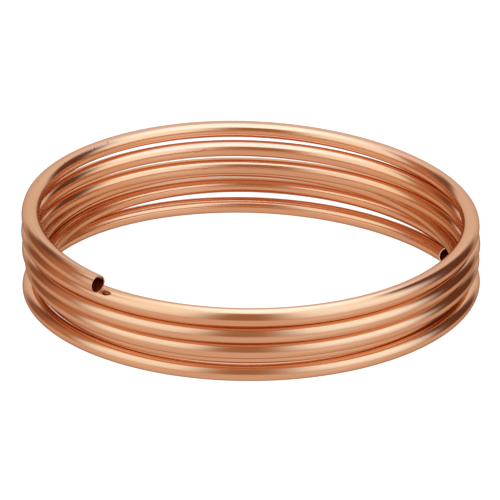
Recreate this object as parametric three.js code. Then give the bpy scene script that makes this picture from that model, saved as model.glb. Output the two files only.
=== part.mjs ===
import * as THREE from 'three';

// A loose coil of soft copper tube: one length of round tube, wound into a few open turns,
// with both ends cut square and the bore open all the way through.
// Millimetres, +Z up, standing on the floor at z = 0, front towards -Y.

// The tube.
const tubeDiameter = 12;
const wallThickness = 0.7;

// The coil, measured to the middle of the tube.
const coilDiameter = 298;

// How far round the coil the two ends lie, in degrees from +X towards +Y.
// The tube runs clockwise from the upper end to the lower one, seen from above.
const upperEndAzimuth = 237;
const lowerEndAzimuth = 24;

// How each turn lies as it passes the four sides, from the top turn down: how far it lies
// outside the mean circle, and how far above the lowest turn. Both are in tube diameters.
// The upper turns have slid forward, over a turn that is nearly hidden behind them.
// The first front and the last one are beyond the tube's ends, and only set its direction there.
const turns = [
  { front: [2.5, 4.55], left: [-0.45, 5.25], back: [-1.45, 5.75], right: [0.45, 4.9] },
  { front: [1.4, 4.0], left: [-0.35, 4.05], back: [-2.0, 4.7], right: [0.55, 3.85] },
  { front: [1.15, 2.95], left: [-0.35, 2.9], back: [-1.8, 3.48], right: [0.6, 2.8] },
  { front: [0.8, 1.9], left: [-0.4, 1.85], back: [0.4, 2.5], right: [0.17, 1.8] },
  { front: [-0.1, 1.25], left: [-0.9, 0.9], back: [0.9, 1.25], right: [0.85, 0.9] },
  { front: [-0.3, 0.1], left: [-0.2, 0.0], back: [0.4, 0.05], right: [1.25, 0.1] },
];
const frontBeyondLowerEnd = [2.85, 1.0];

// Facets.
const outerSides = 12;
const boreSides = 10;
const stepsPerTurn = 36;

const degreesPerTurn = 360;
const sidesPerTurn = 4;
const frontAzimuth = 270;

// The middle line of the wound tube.
class WoundLine extends THREE.Curve {
  constructor(degreesWound) {
    super();
    this.degreesWound = degreesWound;
    const places = turns.flatMap(({ front, left, back, right }) => [front, left, back, right]);
    places.push(frontBeyondLowerEnd);
    this.sidesPassed = places.length - 1;
    this.lay = new THREE.SplineCurve(
      places.map(([out, up]) => new THREE.Vector2(out * tubeDiameter, up * tubeDiameter)),
    );
  }

  getPoint(along, target = new THREE.Vector3()) {
    const azimuth = upperEndAzimuth - along * this.degreesWound;
    const sides = ((frontAzimuth - azimuth) / degreesPerTurn) * sidesPerTurn;
    const place = this.lay.getPoint(sides / this.sidesPassed);
    const angle = THREE.MathUtils.degToRad(azimuth);
    const radius = coilDiameter / 2 + place.x;
    return target.set(radius * Math.cos(angle), radius * Math.sin(angle), place.y);
  }
}

// The tube's section: a ring, wall and bore.
function tubeSection() {
  const circle = (radius, corners) => {
    const step = THREE.MathUtils.degToRad(degreesPerTurn / corners);
    return Array.from(
      { length: corners },
      (_, corner) => new THREE.Vector2(
        radius * Math.cos(corner * step),
        radius * Math.sin(corner * step),
      ),
    );
  };
  const section = new THREE.Shape(circle(tubeDiameter / 2, outerSides));
  section.holes.push(new THREE.Path(circle(tubeDiameter / 2 - wallThickness, boreSides)));
  return section;
}

const degreesWound = upperEndAzimuth - lowerEndAzimuth + (turns.length - 1) * degreesPerTurn;

const geometry = new THREE.ExtrudeGeometry(tubeSection(), {
  steps: Math.round((degreesWound / degreesPerTurn) * stepsPerTurn),
  extrudePath: new WoundLine(degreesWound),
  curveSegments: 1,
  bevelEnabled: false,
});

// The coil stands on the floor, with the origin under the middle of it.
geometry.computeBoundingBox();
const { min, max } = geometry.boundingBox;
geometry.translate(-(min.x + max.x) / 2, -(min.y + max.y) / 2, -min.z);

const copper = new THREE.MeshStandardMaterial({ color: 0xc98a66, roughness: 0.3, metalness: 1 });
const tube = new THREE.Mesh(geometry, copper);
tube.name = 'copper_tube';

const coil = new THREE.Group();
coil.add(tube);

export default coil;
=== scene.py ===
"""A loose coil of soft copper tube on a pale studio floor."""

import math

import bpy
from mathutils import Matrix, Vector


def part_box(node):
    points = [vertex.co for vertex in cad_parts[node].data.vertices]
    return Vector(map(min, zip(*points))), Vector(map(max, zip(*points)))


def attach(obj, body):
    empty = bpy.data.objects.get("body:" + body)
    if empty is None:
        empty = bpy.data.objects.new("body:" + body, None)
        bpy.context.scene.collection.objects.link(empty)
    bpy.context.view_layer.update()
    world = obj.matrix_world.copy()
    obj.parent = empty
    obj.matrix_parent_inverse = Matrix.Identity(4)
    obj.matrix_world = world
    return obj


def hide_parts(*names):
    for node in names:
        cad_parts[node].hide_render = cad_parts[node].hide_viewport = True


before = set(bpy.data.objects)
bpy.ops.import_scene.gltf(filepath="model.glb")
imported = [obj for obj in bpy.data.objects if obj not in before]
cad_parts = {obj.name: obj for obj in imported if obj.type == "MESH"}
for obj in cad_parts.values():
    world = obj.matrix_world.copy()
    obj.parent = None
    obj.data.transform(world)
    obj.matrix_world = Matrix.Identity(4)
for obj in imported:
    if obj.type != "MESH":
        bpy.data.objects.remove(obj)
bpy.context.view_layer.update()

NODE = "copper_tube"

# The tube and its winding, in metres and degrees, as the solid has them.
TUBE_DIAMETER = 0.012
WALL_THICKNESS = 0.0007
COIL_DIAMETER = 0.298
UPPER_END_AZIMUTH = 237
LOWER_END_AZIMUTH = 24

# How each turn lies at its front, left, back and right, from the top turn down:
# how far outside the mean circle, and how far above the lowest turn, in tube diameters.
TURNS = [
    {"front": (2.5, 4.55), "left": (-0.45, 5.25), "back": (-1.45, 5.75), "right": (0.45, 4.9)},
    {"front": (1.4, 4.0), "left": (-0.35, 4.05), "back": (-2.0, 4.7), "right": (0.55, 3.85)},
    {"front": (1.15, 2.95), "left": (-0.35, 2.9), "back": (-1.8, 3.48), "right": (0.6, 2.8)},
    {"front": (0.8, 1.9), "left": (-0.4, 1.85), "back": (0.4, 2.5), "right": (0.17, 1.8)},
    {"front": (-0.1, 1.25), "left": (-0.9, 0.9), "back": (0.9, 1.25), "right": (0.85, 0.9)},
    {"front": (-0.3, 0.1), "left": (-0.2, 0.0), "back": (0.4, 0.05), "right": (1.25, 0.1)},
]
FRONT_BEYOND_LOWER_END = (2.85, 1.0)
FRONT_AZIMUTH = 270
DEGREES_PER_SIDE = 90
DEGREES_PER_TURN = 360

# The fine surface.
RINGS_PER_TURN = 160
OUTER_SIDES = 64
BORE_SIDES = 28

# The tube's surfaces, in the order of its materials, and the two that run along it.
OUTSIDE, BORE, CUT_END = range(3)
WALLS = {
    OUTSIDE: {"radius": TUBE_DIAMETER / 2, "sides": OUTER_SIDES},
    BORE: {"radius": TUBE_DIAMETER / 2 - WALL_THICKNESS, "sides": BORE_SIDES},
}

# The photograph's frame and the camera that took it, in pixels, millimetres, metres and radians.
FRAME_PIXELS = 500
SENSOR_WIDTH = 36
FOCAL_PIXELS = 2402
PRINCIPAL_PIXEL = (242.0, 260.6)
CAMERA_ELEVATION = math.radians(22.41)
CAMERA_DISTANCE = 1.668
CAMERA_ROLL = math.radians(1.68)
LOOK_HEIGHT = 0.024


def between(points, position):
    """The point at position on a smooth curve that passes through points one unit apart."""
    last = len(points) - 1
    first = min(max(math.floor(position), 0), last - 1)
    share = position - first
    before, start = points[max(first - 1, 0)], points[first]
    end, after = points[first + 1], points[min(first + 2, last)]
    result = []
    for p0, p1, p2, p3 in zip(before, start, end, after):
        leave, arrive = (p2 - p0) / 2, (p3 - p1) / 2
        cubic = 2 * (p1 - p2) + leave + arrive
        square = 3 * (p2 - p1) - 2 * leave - arrive
        result.append(((cubic * share + square) * share + leave) * share + p1)
    return result


def wound_line():
    """The tube's middle line, from the upper end to the lower one."""
    places = [turn[side] for turn in TURNS for side in ("front", "left", "back", "right")]
    places.append(FRONT_BEYOND_LOWER_END)
    wound = UPPER_END_AZIMUTH - LOWER_END_AZIMUTH + (len(TURNS) - 1) * DEGREES_PER_TURN
    steps = round(wound / DEGREES_PER_TURN * RINGS_PER_TURN)
    line = []
    for step in range(steps + 1):
        azimuth = UPPER_END_AZIMUTH - wound * step / steps
        out, up = between(places, (FRONT_AZIMUTH - azimuth) / DEGREES_PER_SIDE)
        radius = COIL_DIAMETER / 2 + out * TUBE_DIAMETER
        angle = math.radians(azimuth)
        line.append(
            Vector((radius * math.cos(angle), radius * math.sin(angle), up * TUBE_DIAMETER))
        )
    return line


def tube_rings(line):
    """The vertices of a tube round a line, and a ring for each of the line's points.

    A ring holds how far along the tube it is, and each wall's first vertex.
    """
    vertices, rings = [], []
    along = 0.0
    for index, point in enumerate(line):
        ahead = line[min(index + 1, len(line) - 1)]
        behind = line[max(index - 1, 0)]
        tangent = (ahead - behind).normalized()
        side = tangent.cross(Vector((0, 0, 1))).normalized()
        top = side.cross(tangent)
        if index:
            along += (point - line[index - 1]).length
        ring = {"along": along}
        for surface, wall in WALLS.items():
            ring[surface] = len(vertices)
            for corner in range(wall["sides"]):
                angle = math.tau * corner / wall["sides"]
                across = side * math.cos(angle) + top * math.sin(angle)
                vertices.append(point + across * wall["radius"])
        rings.append(ring)
    return vertices, rings


def wall_faces(surface, ring, following):
    """One wall's faces between two rings, with their corners' places along and round the tube."""
    sides = WALLS[surface]["sides"]
    start, end = ring["along"], following["along"]
    faces, coords = [], []
    for corner in range(sides):
        after = (corner + 1) % sides
        face = [
            ring[surface] + corner,
            ring[surface] + after,
            following[surface] + after,
            following[surface] + corner,
        ]
        near, far = corner / sides, (corner + 1) / sides
        coord = [(start, near), (start, far), (end, far), (end, near)]
        if surface == BORE:
            face.reverse()
            coord.reverse()
        faces.append(face)
        coords.append(coord)
    return faces, coords


def end_faces(vertices, ring, flip):
    """The square-cut face between the outside and the bore, on vertices of its own."""
    base = len(vertices)
    for surface, wall in WALLS.items():
        vertices += vertices[ring[surface]:ring[surface] + wall["sides"]]
    faces, coords = [], []
    for corner in range(OUTER_SIDES):
        after = (corner + 1) % OUTER_SIDES
        near = round(corner * BORE_SIDES / OUTER_SIDES) % BORE_SIDES
        far = round((corner + 1) * BORE_SIDES / OUTER_SIDES) % BORE_SIDES
        face = [base + corner, base + OUTER_SIDES + near]
        if far != near:
            face.append(base + OUTER_SIDES + far)
        face.append(base + after)
        if flip:
            face.reverse()
        faces.append(face)
        coords.append([(ring["along"], corner / OUTER_SIDES)] * len(face))
    return faces, coords


def build_tube():
    """The tube, how far it is moved to stand where the solid does, and its length."""
    vertices, rings = tube_rings(wound_line())
    made = [
        (surface, *wall_faces(surface, ring, following))
        for ring, following in zip(rings, rings[1:])
        for surface in WALLS
    ]
    made.append((CUT_END, *end_faces(vertices, rings[0], False)))
    made.append((CUT_END, *end_faces(vertices, rings[-1], True)))
    lowest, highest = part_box(NODE)
    middle = (lowest + highest) / 2
    low = Vector([min(v[axis] for v in vertices) for axis in range(3)])
    high = Vector([max(v[axis] for v in vertices) for axis in range(3)])
    shift = Vector((middle.x - (low.x + high.x) / 2, middle.y - (low.y + high.y) / 2, -low.z))
    mesh = bpy.data.meshes.new("wound_tube")
    all_faces = [face for surface, faces, coords in made for face in faces]
    mesh.from_pydata([v + shift for v in vertices], [], all_faces)
    layer = mesh.uv_layers.new(name="along_tube")
    described = [(surface, coord) for surface, faces, coords in made for coord in coords]
    for polygon, (surface, coord) in zip(mesh.polygons, described):
        polygon.use_smooth = surface != CUT_END
        polygon.material_index = surface
        for loop, place in zip(polygon.loop_indices, coord):
            layer.data[loop].uv = place
    tube = bpy.data.objects.new("wound_tube", mesh)
    bpy.context.scene.collection.objects.link(tube)
    return tube, shift, rings[-1]["along"]


def add_node(tree, kind, **settings):
    node = tree.nodes.new(kind)
    for name, value in settings.items():
        setattr(node, name, value)
    return node


def feed(tree, socket, value):
    """Links value to the socket where it is another node's output, and otherwise sets it."""
    if isinstance(value, bpy.types.NodeSocket):
        tree.links.new(value, socket)
    else:
        socket.default_value = value


def calculate(tree, operation, *values):
    node = add_node(tree, "ShaderNodeMath", operation=operation)
    for socket, value in zip(node.inputs, values):
        feed(tree, socket, value)
    return node.outputs[0]


def product(tree, first, *others):
    """All the values multiplied, in their order."""
    result = first
    for other in others:
        result = calculate(tree, "MULTIPLY", result, other)
    return result


def separate(tree, vector):
    """The X, Y and Z of a vector."""
    parts = add_node(tree, "ShaderNodeSeparateXYZ")
    feed(tree, parts.inputs[0], vector)
    return parts.outputs


def map_range(tree, value, limits, **settings):
    """Value, moved from the range of the first two limits to that of the last two."""
    node = add_node(tree, "ShaderNodeMapRange", **settings)
    feed(tree, node.inputs["Value"], value)
    for name, limit in zip(("From Min", "From Max", "To Min", "To Max"), limits):
        node.inputs[name].default_value = limit
    return node.outputs["Result"]


def fade(tree, value, none, full):
    """0 where value is at none, 1 where it is at full, and smooth between them."""
    limits = (none, full, 0, 1) if none < full else (full, none, 1, 0)
    return map_range(tree, value, limits, interpolation_type="SMOOTHSTEP")


def blend(tree, share, first, second):
    node = add_node(tree, "ShaderNodeMix", data_type="RGBA")
    feed(tree, node.inputs["Factor"], share)
    feed(tree, node.inputs["A"], first)
    feed(tree, node.inputs["B"], second)
    return node.outputs["Result"]


def rgba(colour):
    return (*colour, 1)


# The studio as seen from the coil, in degrees. Azimuths are from the camera, to its right, and
# up is the elevation above the floor: a panel's lowest and highest, or a disc's middle. Reach is
# how far a panel goes to both sides of its azimuth, or a disc all round. Edge and up_edge are
# how far inside and outside the outline the light fades. A later one covers an earlier one.
ROOM = (0.13, 0.053, 0.03)
PANELS = [
    {"azimuth": -117, "reach": 20, "edge": 12, "up": (-15, 45), "up_edge": 6,
     "light": (0.28, 0.13, 0.07)},
    {"azimuth": -102, "reach": 10, "edge": 10, "up": (-15, 45), "up_edge": 6,
     "light": (0.5, 0.24, 0.13)},
    {"azimuth": -120, "reach": 25, "edge": 10, "up": (42, 75), "up_edge": 6,
     "light": (0.48, 0.26, 0.19)},
    {"azimuth": 180, "reach": 41, "edge": 8, "up": (-14, 60), "up_edge": 6,
     "light": (0.81, 0.78, 0.78)},
    {"azimuth": -2, "reach": 94, "edge": 10, "up": (-14, 90), "up_edge": 5,
     "light": (0.36, 0.19, 0.1)},
    {"azimuth": -54, "reach": 32, "edge": 14, "up": (-14, 75), "up_edge": 5,
     "light": (0.92, 0.94, 0.93)},
    {"azimuth": -58, "reach": 27, "edge": 16, "up": (8, 75), "up_edge": 12,
     "light": (1.03, 1.15, 1.15)},
    {"azimuth": 55, "reach": 34, "edge": 18, "up": (-14, 75), "up_edge": 5,
     "light": (0.95, 0.97, 1.0)},
    {"azimuth": 60, "reach": 30, "edge": 20, "up": (8, 75), "up_edge": 12,
     "light": (1.07, 1.28, 1.37)},
]
DISCS = [
    {"azimuth": -157, "up": 39, "reach": 4, "edge": 3, "light": (0.15, 0.075, 0.05)},
    {"azimuth": -143, "up": 36, "reach": 7, "edge": 3, "light": (0.15, 0.075, 0.05)},
    {"azimuth": -130, "up": 28, "reach": 8, "edge": 4, "light": (0.15, 0.075, 0.05)},
    {"azimuth": 0, "up": -90, "reach": 76, "edge": 8, "light": (0.7, 0.53, 0.435)},
    {"azimuth": 48, "up": -34, "reach": 14, "edge": 22, "light": (0.84, 0.74, 0.67)},
    {"azimuth": -56, "up": -26, "reach": 8, "edge": 22, "light": (0.82, 0.68, 0.54)},
    {"azimuth": 180, "up": -40, "reach": 30, "edge": 25, "light": (0.45, 0.32, 0.25)},
]
HALF_TURN = 180


def heading(azimuth, elevation):
    """The unit vector to a place in the studio."""
    azimuth, elevation = math.radians(azimuth), math.radians(elevation)
    flat = math.cos(elevation)
    return Vector((flat * math.sin(azimuth), -flat * math.cos(azimuth), math.sin(elevation)))


def panel_mask(tree, azimuth, up, panel):
    """1 on a panel, and 0 off it."""
    aside = calculate(tree, "SUBTRACT", azimuth, panel["azimuth"])
    aside = calculate(tree, "PINGPONG", aside, HALF_TURN)
    reach, edge = panel["reach"], panel["edge"]
    (low, high), up_edge = panel["up"], panel["up_edge"]
    return product(
        tree,
        fade(tree, aside, reach + edge, reach - edge),
        fade(tree, up, low - up_edge, low + up_edge),
        fade(tree, up, high + up_edge, high - up_edge),
    )


def disc_mask(tree, direction, disc):
    """1 on a disc, and 0 off it."""
    dot = add_node(tree, "ShaderNodeVectorMath", operation="DOT_PRODUCT")
    feed(tree, dot.inputs[0], direction)
    feed(tree, dot.inputs[1], heading(disc["azimuth"], disc["up"]))
    away = calculate(tree, "DEGREES", calculate(tree, "ARCCOSINE", dot.outputs["Value"]))
    return fade(tree, away, disc["reach"] + disc["edge"], disc["reach"] - disc["edge"])


def studio():
    """A dim, warm room with the panels and discs that the tube mirrors."""
    world = bpy.data.worlds.new("studio")
    world.use_nodes = True
    tree = world.node_tree
    direction = add_node(tree, "ShaderNodeTexCoord").outputs["Generated"]
    right, back, rise = separate(tree, direction)
    towards_camera = calculate(tree, "MULTIPLY", back, -1.0)
    azimuth = calculate(tree, "DEGREES", calculate(tree, "ARCTAN2", right, towards_camera))
    up = calculate(tree, "DEGREES", calculate(tree, "ARCSINE", rise))
    light = rgba(ROOM)
    for panel in PANELS:
        light = blend(tree, panel_mask(tree, azimuth, up, panel), light, rgba(panel["light"]))
    for disc in DISCS:
        light = blend(tree, disc_mask(tree, direction, disc), light, rgba(disc["light"]))
    feed(tree, tree.nodes["Background"].inputs["Color"], light)
    bpy.context.scene.world = world


# The soft lights that hang over the coil. Each is an oval, half as bright at its half size
# as in its middle. Soft is the share of its half size over which it fades, inside and outside
# that. Places and sizes are in metres, and turned is in degrees.
OVERHEAD = [
    {"centre": (0.04, 0.02, 0.415), "half": (0.19, 0.24), "soft": 0.6, "turned": 0,
     "light": (1.42, 1.69, 2.07)},
    {"centre": (-0.03, -0.11, 0.42), "half": (0.42, 0.16), "soft": 0.25, "turned": -12,
     "light": (1.06, 1.19, 1.2)},
]


def soft_light_material(name, soft, light):
    """Light in the middle of an oval, and nothing at its rim."""
    material = bpy.data.materials.new(name)
    material.use_nodes = True
    tree = material.node_tree
    tree.nodes.clear()
    out = add_node(tree, "ShaderNodeVectorMath", operation="LENGTH")
    feed(tree, out.inputs[0], add_node(tree, "ShaderNodeTexCoord").outputs["Object"])
    lit = add_node(tree, "ShaderNodeEmission")
    lit.inputs["Color"].default_value = rgba(light)
    mixed = add_node(tree, "ShaderNodeMixShader")
    feed(tree, mixed.inputs[0], fade(tree, out.outputs["Value"], 1 + soft, 1 - soft))
    feed(tree, mixed.inputs[1], add_node(tree, "ShaderNodeBsdfTransparent").outputs[0])
    feed(tree, mixed.inputs[2], lit.outputs[0])
    surface = add_node(tree, "ShaderNodeOutputMaterial").inputs["Surface"]
    feed(tree, surface, mixed.outputs[0])
    return material


def soft_light(name, centre, half, soft, turned, light):
    """A lamp that faces down, as large as the oval with its fading rim."""
    mesh = bpy.data.meshes.new(name)
    rim = 1 + soft
    corners = [(-rim, -rim, 0), (rim, -rim, 0), (rim, rim, 0), (-rim, rim, 0)]
    mesh.from_pydata(corners, [], [(3, 2, 1, 0)])
    mesh.materials.append(soft_light_material(name, soft, light))
    lamp = bpy.data.objects.new(name, mesh)
    lamp.location = centre
    lamp.scale = (*half, 1)
    lamp.rotation_euler.z = math.radians(turned)
    lamp.visible_camera = False
    bpy.context.scene.collection.objects.link(lamp)


def tube_place(tree):
    """How far along the tube a point is, in metres, and what share of the way round it."""
    place = add_node(tree, "ShaderNodeUVMap", uv_map="along_tube").outputs[0]
    along, around, _ = separate(tree, place)
    return along, around


def noise(tree, place, scale, detail):
    node = add_node(tree, "ShaderNodeTexNoise")
    feed(tree, node.inputs["Vector"], place)
    node.inputs["Scale"].default_value = scale
    node.inputs["Detail"].default_value = detail
    return node.outputs[0]


def tube_noise(tree, along_scale, scale, detail):
    """Noise round the tube, and along it by along_scale for each metre, without a seam."""
    along, around = tube_place(tree)
    angle = calculate(tree, "MULTIPLY", around, math.tau)
    joined = add_node(tree, "ShaderNodeCombineXYZ")
    feed(tree, joined.inputs["X"], calculate(tree, "COSINE", angle))
    feed(tree, joined.inputs["Y"], calculate(tree, "SINE", angle))
    feed(tree, joined.inputs["Z"], calculate(tree, "MULTIPLY", along, along_scale))
    return noise(tree, joined.outputs[0], scale, detail)


# Where nearly all of a noise's values lie.
NOISE_SPREAD = (0.3, 0.7)


def spread(tree, values, low, high):
    """A noise's values, spread from low to high."""
    return map_range(tree, values, (*NOISE_SPREAD, low, high))


def new_metal(name, edge_tint):
    material = bpy.data.materials.new(name)
    material.use_nodes = True
    shader = material.node_tree.nodes["Principled BSDF"]
    shader.inputs["Metallic"].default_value = 1
    shader.inputs["Specular Tint"].default_value = rgba(edge_tint)
    return material, material.node_tree, shader


def raise_surface(tree, shader, height, distance):
    """Bumps as high as distance, in metres, for each unit of height."""
    bump = add_node(tree, "ShaderNodeBump")
    bump.inputs["Strength"].default_value = 1
    bump.inputs["Distance"].default_value = distance
    feed(tree, bump.inputs["Height"], height)
    feed(tree, shader.inputs["Normal"], bump.outputs[0])


# The small marks on the tube: how far along it and what share of the way round each one is,
# how it slopes, and how long and wide it is, in metres.
NICKS = [
    {"along": 0.1648, "around": 0.26, "slope": 0, "size": (0.0016, 0.0012)},
    {"along": 0.2059, "around": 0.156, "slope": 0, "size": (0.002, 0.0014)},
    {"along": 0.2406, "around": 0.135, "slope": 0.5, "size": (0.003, 0.0012)},
    {"along": 0.2554, "around": 0.156, "slope": 0.3, "size": (0.0026, 0.0014)},
    {"along": 1.2698, "around": 0.02, "slope": 0.23, "size": (0.014, 0.0009)},
    {"along": 2.2047, "around": 0.01, "slope": 0.2, "size": (0.011, 0.0009)},
    {"along": 5.2041, "around": 0.052, "slope": -0.1, "size": (0.004, 0.001)},
    {"along": 5.217, "around": 0.052, "slope": 0.1, "size": (0.007, 0.0009)},
    {"along": 5.2319, "around": 0.094, "slope": 0.1, "size": (0.003, 0.001)},
]


def nicks(tree):
    """1 in the small marks on the outside, and 0 elsewhere."""
    tube_along, tube_around = tube_place(tree)
    marked = 0.0
    for nick in NICKS:
        along = calculate(tree, "SUBTRACT", tube_along, nick["along"])
        around = calculate(tree, "SUBTRACT", tube_around, nick["around"])
        around = calculate(tree, "MULTIPLY", around, math.pi * TUBE_DIAMETER)
        aslant = calculate(tree, "MULTIPLY", along, nick["slope"])
        across = calculate(tree, "ABSOLUTE", calculate(tree, "SUBTRACT", around, aslant))
        length, width = nick["size"]
        mask = product(
            tree,
            fade(tree, calculate(tree, "ABSOLUTE", along), length / 2, length / 4),
            fade(tree, across, width / 2, width / 8),
        )
        marked = calculate(tree, "MAXIMUM", marked, mask)
    return marked


# The outside's colours. Metals are tinted at a glancing angle by the edge tint.
EDGE_TINT = (0.75, 0.6, 0.5)
COPPER = (0.92, 0.56, 0.335)
ROSY_COPPER = (0.9, 0.535, 0.36)
PALE_COPPER = (0.92, 0.585, 0.385)
# Painted shade: a darker, redder copper for the inside of the coil on both sides of the back.
INSIDE_SHADE_COPPER = (0.9, 0.515, 0.29)
STREAK_COPPER = (0.85, 0.465, 0.29)
NICK_COPPER = (0.42, 0.17, 0.08)
NICK_SHARE = 0.75

# Where the outside is paler, at the front of the turns under the top one, and where it is
# darker and warmer, on both sides of the back, as painted shade for the inside of the coil.
# Each pair is where the tint starts and where it is full, in metres.
PALE = {"back": (-0.04, -0.13), "up": (0.051, 0.045)}
INSIDE_SHADE = {"back": (0, 0.06), "under": (0.07, 0.06), "over": (0.01, 0.018), "aside": (0.06, 0.12)}

# How high the drawn lines are, in metres, how many times as high the streaks are, and how
# many times as deep the marks are.
LINE_HEIGHT = 0.000006
STREAK_HEIGHT = 4.0
NICK_DEPTH = 8.0

# The noise at which the streaks start and are full, and how strongly they show there.
STREAKS = (0.45, 0.75, 0, 0.5)

# How rough the outside is, and what the drawn lines add to it.
OUTSIDE_ROUGHNESS = (0.1, 0.16)
LINE_ROUGHNESS = (0, 0.04)


def outside_colour(tree, patches, streaks, nicked):
    """The outside's colour, with its paler, streaked and marked places, and its painted shade at
    the back.
    """
    colour = blend(tree, spread(tree, patches, 0, 1), rgba(COPPER), rgba(ROSY_COPPER))
    side, back, up = separate(tree, add_node(tree, "ShaderNodeTexCoord").outputs["Object"])
    pale = product(tree, fade(tree, back, *PALE["back"]), fade(tree, up, *PALE["up"]))
    colour = blend(tree, pale, colour, rgba(PALE_COPPER))
    # Painted shade: darker, redder copper between the top and bottom turns, on both sides of the
    # back.
    warm = product(
        tree,
        fade(tree, back, *INSIDE_SHADE["back"]),
        fade(tree, up, *INSIDE_SHADE["under"]),
        fade(tree, up, *INSIDE_SHADE["over"]),
        fade(tree, calculate(tree, "ABSOLUTE", side), *INSIDE_SHADE["aside"]),
    )
    colour = blend(tree, warm, colour, rgba(INSIDE_SHADE_COPPER))
    colour = blend(tree, map_range(tree, streaks, STREAKS), colour, rgba(STREAK_COPPER))
    return blend(tree, product(tree, nicked, NICK_SHARE), colour, rgba(NICK_COPPER))


def drawn_copper():
    """The tube's outside: bare copper with fine lines along it from the drawing die."""
    material, tree, shader = new_metal("drawn_copper", EDGE_TINT)
    lines = tube_noise(tree, along_scale=0.8, scale=16, detail=2.0)
    streaks = tube_noise(tree, along_scale=2.5, scale=3, detail=3.0)
    patches = tube_noise(tree, along_scale=18, scale=0.9, detail=3.0)
    nicked = nicks(tree)
    feed(tree, shader.inputs["Base Color"], outside_colour(tree, patches, streaks, nicked))
    rough = spread(tree, patches, *OUTSIDE_ROUGHNESS)
    rough = calculate(tree, "ADD", rough, spread(tree, lines, *LINE_ROUGHNESS))
    feed(tree, shader.inputs["Roughness"], rough)
    height = calculate(tree, "ADD", lines, product(tree, streaks, STREAK_HEIGHT))
    height = calculate(tree, "SUBTRACT", height, product(tree, nicked, NICK_DEPTH))
    raise_surface(tree, shader, height, LINE_HEIGHT)
    return material


# The bore's colours, darkened as painted shade for the dim inside of the tube, and the painted
# light on it: a bright patch overhead, near its mouths. Each pair is where that patch starts
# and where it is full. Facing is the upward part of the surface's normal, and the others are
# how far in from the mouth, in metres.
BORE_SHADE_EDGE_TINT = (0.5, 0.12, 0.03)
BORE_SHADE_COPPER = (0.6, 0.2, 0.07)
DEEPER_BORE_SHADE = (0.4, 0.11, 0.035)
BORE_LIT_PATCH_COPPER = (1, 0.64, 0.36)
BORE_LIT_PATCH = {"facing": (-0.1, -0.5), "far": (0.03, 0.01), "near": (0.0003, 0.0028)}
BORE_ROUGHNESS = (0.35, 0.5)


def bore_copper(length):
    """The inside of a tube of this length: dark with painted shade, and with a painted lit patch
    overhead near its mouths.
    """
    material, tree, shader = new_metal("bore_copper", BORE_SHADE_EDGE_TINT)
    patches = tube_noise(tree, along_scale=60, scale=2.5, detail=3.0)
    # Painted shade: both bore colours are darkened copper for the dim inside of the tube, varied
    # at random.
    colour = blend(tree, patches, rgba(BORE_SHADE_COPPER), rgba(DEEPER_BORE_SHADE))
    from_upper, _ = tube_place(tree)
    from_lower = calculate(tree, "SUBTRACT", length, from_upper)
    depth = calculate(tree, "MINIMUM", from_upper, from_lower)
    normal = add_node(tree, "ShaderNodeNewGeometry").outputs["Normal"]
    facing = separate(tree, normal)["Z"]
    near_mouth = product(
        tree, fade(tree, depth, *BORE_LIT_PATCH["far"]), fade(tree, depth, *BORE_LIT_PATCH["near"])
    )
    # Painted light: a bright, dull patch on the bore's ceiling near each mouth, where light from
    # outside falls.
    lit_patch = product(tree, fade(tree, facing, *BORE_LIT_PATCH["facing"]), near_mouth)
    feed(tree, shader.inputs["Base Color"], blend(tree, lit_patch, colour, rgba(BORE_LIT_PATCH_COPPER)))
    feed(tree, shader.inputs["Metallic"], calculate(tree, "SUBTRACT", 1, lit_patch))
    feed(tree, shader.inputs["Roughness"], spread(tree, patches, *BORE_ROUGHNESS))
    shader.inputs["Specular IOR Level"].default_value = 0
    return material


# The cut ends' colours and roughness, and how fine and how high, in metres, the marks are.
CUT_COPPER = (1, 0.82, 0.72)
DULL_CUT_COPPER = (0.92, 0.64, 0.52)
CUT_ROUGHNESS = (0.3, 0.5)
CUTTER_MARKS_PER_METRE = 2500
CUTTER_MARK_HEIGHT = 0.00002


def cut_copper():
    """The square-cut ends: bright, with the marks of the cutter."""
    material, tree, shader = new_metal("cut_copper", EDGE_TINT)
    place = add_node(tree, "ShaderNodeTexCoord").outputs["Object"]
    marks = noise(tree, place, CUTTER_MARKS_PER_METRE, detail=2.0)
    colour = blend(tree, marks, rgba(CUT_COPPER), rgba(DULL_CUT_COPPER))
    feed(tree, shader.inputs["Base Color"], colour)
    feed(tree, shader.inputs["Roughness"], spread(tree, marks, *CUT_ROUGHNESS))
    raise_surface(tree, shader, marks, CUTTER_MARK_HEIGHT)
    return material


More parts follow.
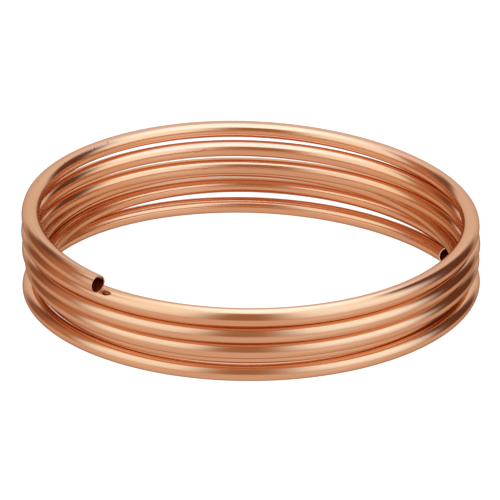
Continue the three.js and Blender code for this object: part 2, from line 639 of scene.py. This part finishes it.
# The floor gives off its own white. In its place the coil mirrors the disc that lies below it.
FLOOR_SIZE = 12
FLOOR_COLOUR = (0.05, 0.05, 0.05)
FLOOR_ROUGHNESS = 0.5
FLOOR_LIGHT = (1, 1, 1)


def pale_floor():
    bpy.ops.mesh.primitive_plane_add(size=FLOOR_SIZE)
    floor = bpy.context.object
    floor.name = "floor"
    white = bpy.data.materials.new("pale_floor")
    white.use_nodes = True
    shader = white.node_tree.nodes["Principled BSDF"]
    shader.inputs["Base Color"].default_value = rgba(FLOOR_COLOUR)
    shader.inputs["Roughness"].default_value = FLOOR_ROUGHNESS
    shader.inputs["Emission Color"].default_value = rgba(FLOOR_LIGHT)
    shader.inputs["Emission Strength"].default_value = 1.0
    floor.data.materials.append(white)
    floor.visible_glossy = False


def place_camera(target):
    """Looks at the target as the camera that took the photograph did."""
    data = bpy.data.cameras.new("camera")
    data.sensor_width = SENSOR_WIDTH
    data.lens = FOCAL_PIXELS / FRAME_PIXELS * SENSOR_WIDTH
    middle = (FRAME_PIXELS - 1) / 2
    data.shift_x = (middle - PRINCIPAL_PIXEL[0]) / FRAME_PIXELS
    data.shift_y = (PRINCIPAL_PIXEL[1] - middle) / FRAME_PIXELS
    camera = bpy.data.objects.new("camera", data)
    away = Vector((0, -math.cos(CAMERA_ELEVATION), math.sin(CAMERA_ELEVATION)))
    tilt = Matrix.Rotation(math.pi / 2 - CAMERA_ELEVATION, 4, "X")
    roll = Matrix.Rotation(CAMERA_ROLL, 4, "Z")
    camera.matrix_world = Matrix.Translation(target + away * CAMERA_DISTANCE) @ tilt @ roll
    bpy.context.scene.collection.objects.link(camera)
    bpy.context.scene.camera = camera


tube, shift, tube_length = build_tube()
for material in (drawn_copper(), bore_copper(tube_length), cut_copper()):
    tube.data.materials.append(material)
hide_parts(NODE)
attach(tube, "root")

place_camera(Vector((shift.x, shift.y, LOOK_HEIGHT)))

pale_floor()
for number, light in enumerate(OVERHEAD, start=1):
    soft_light(f"overhead_light_{number}", **light)
studio()
bpy.context.scene.view_settings.view_transform = "Standard"
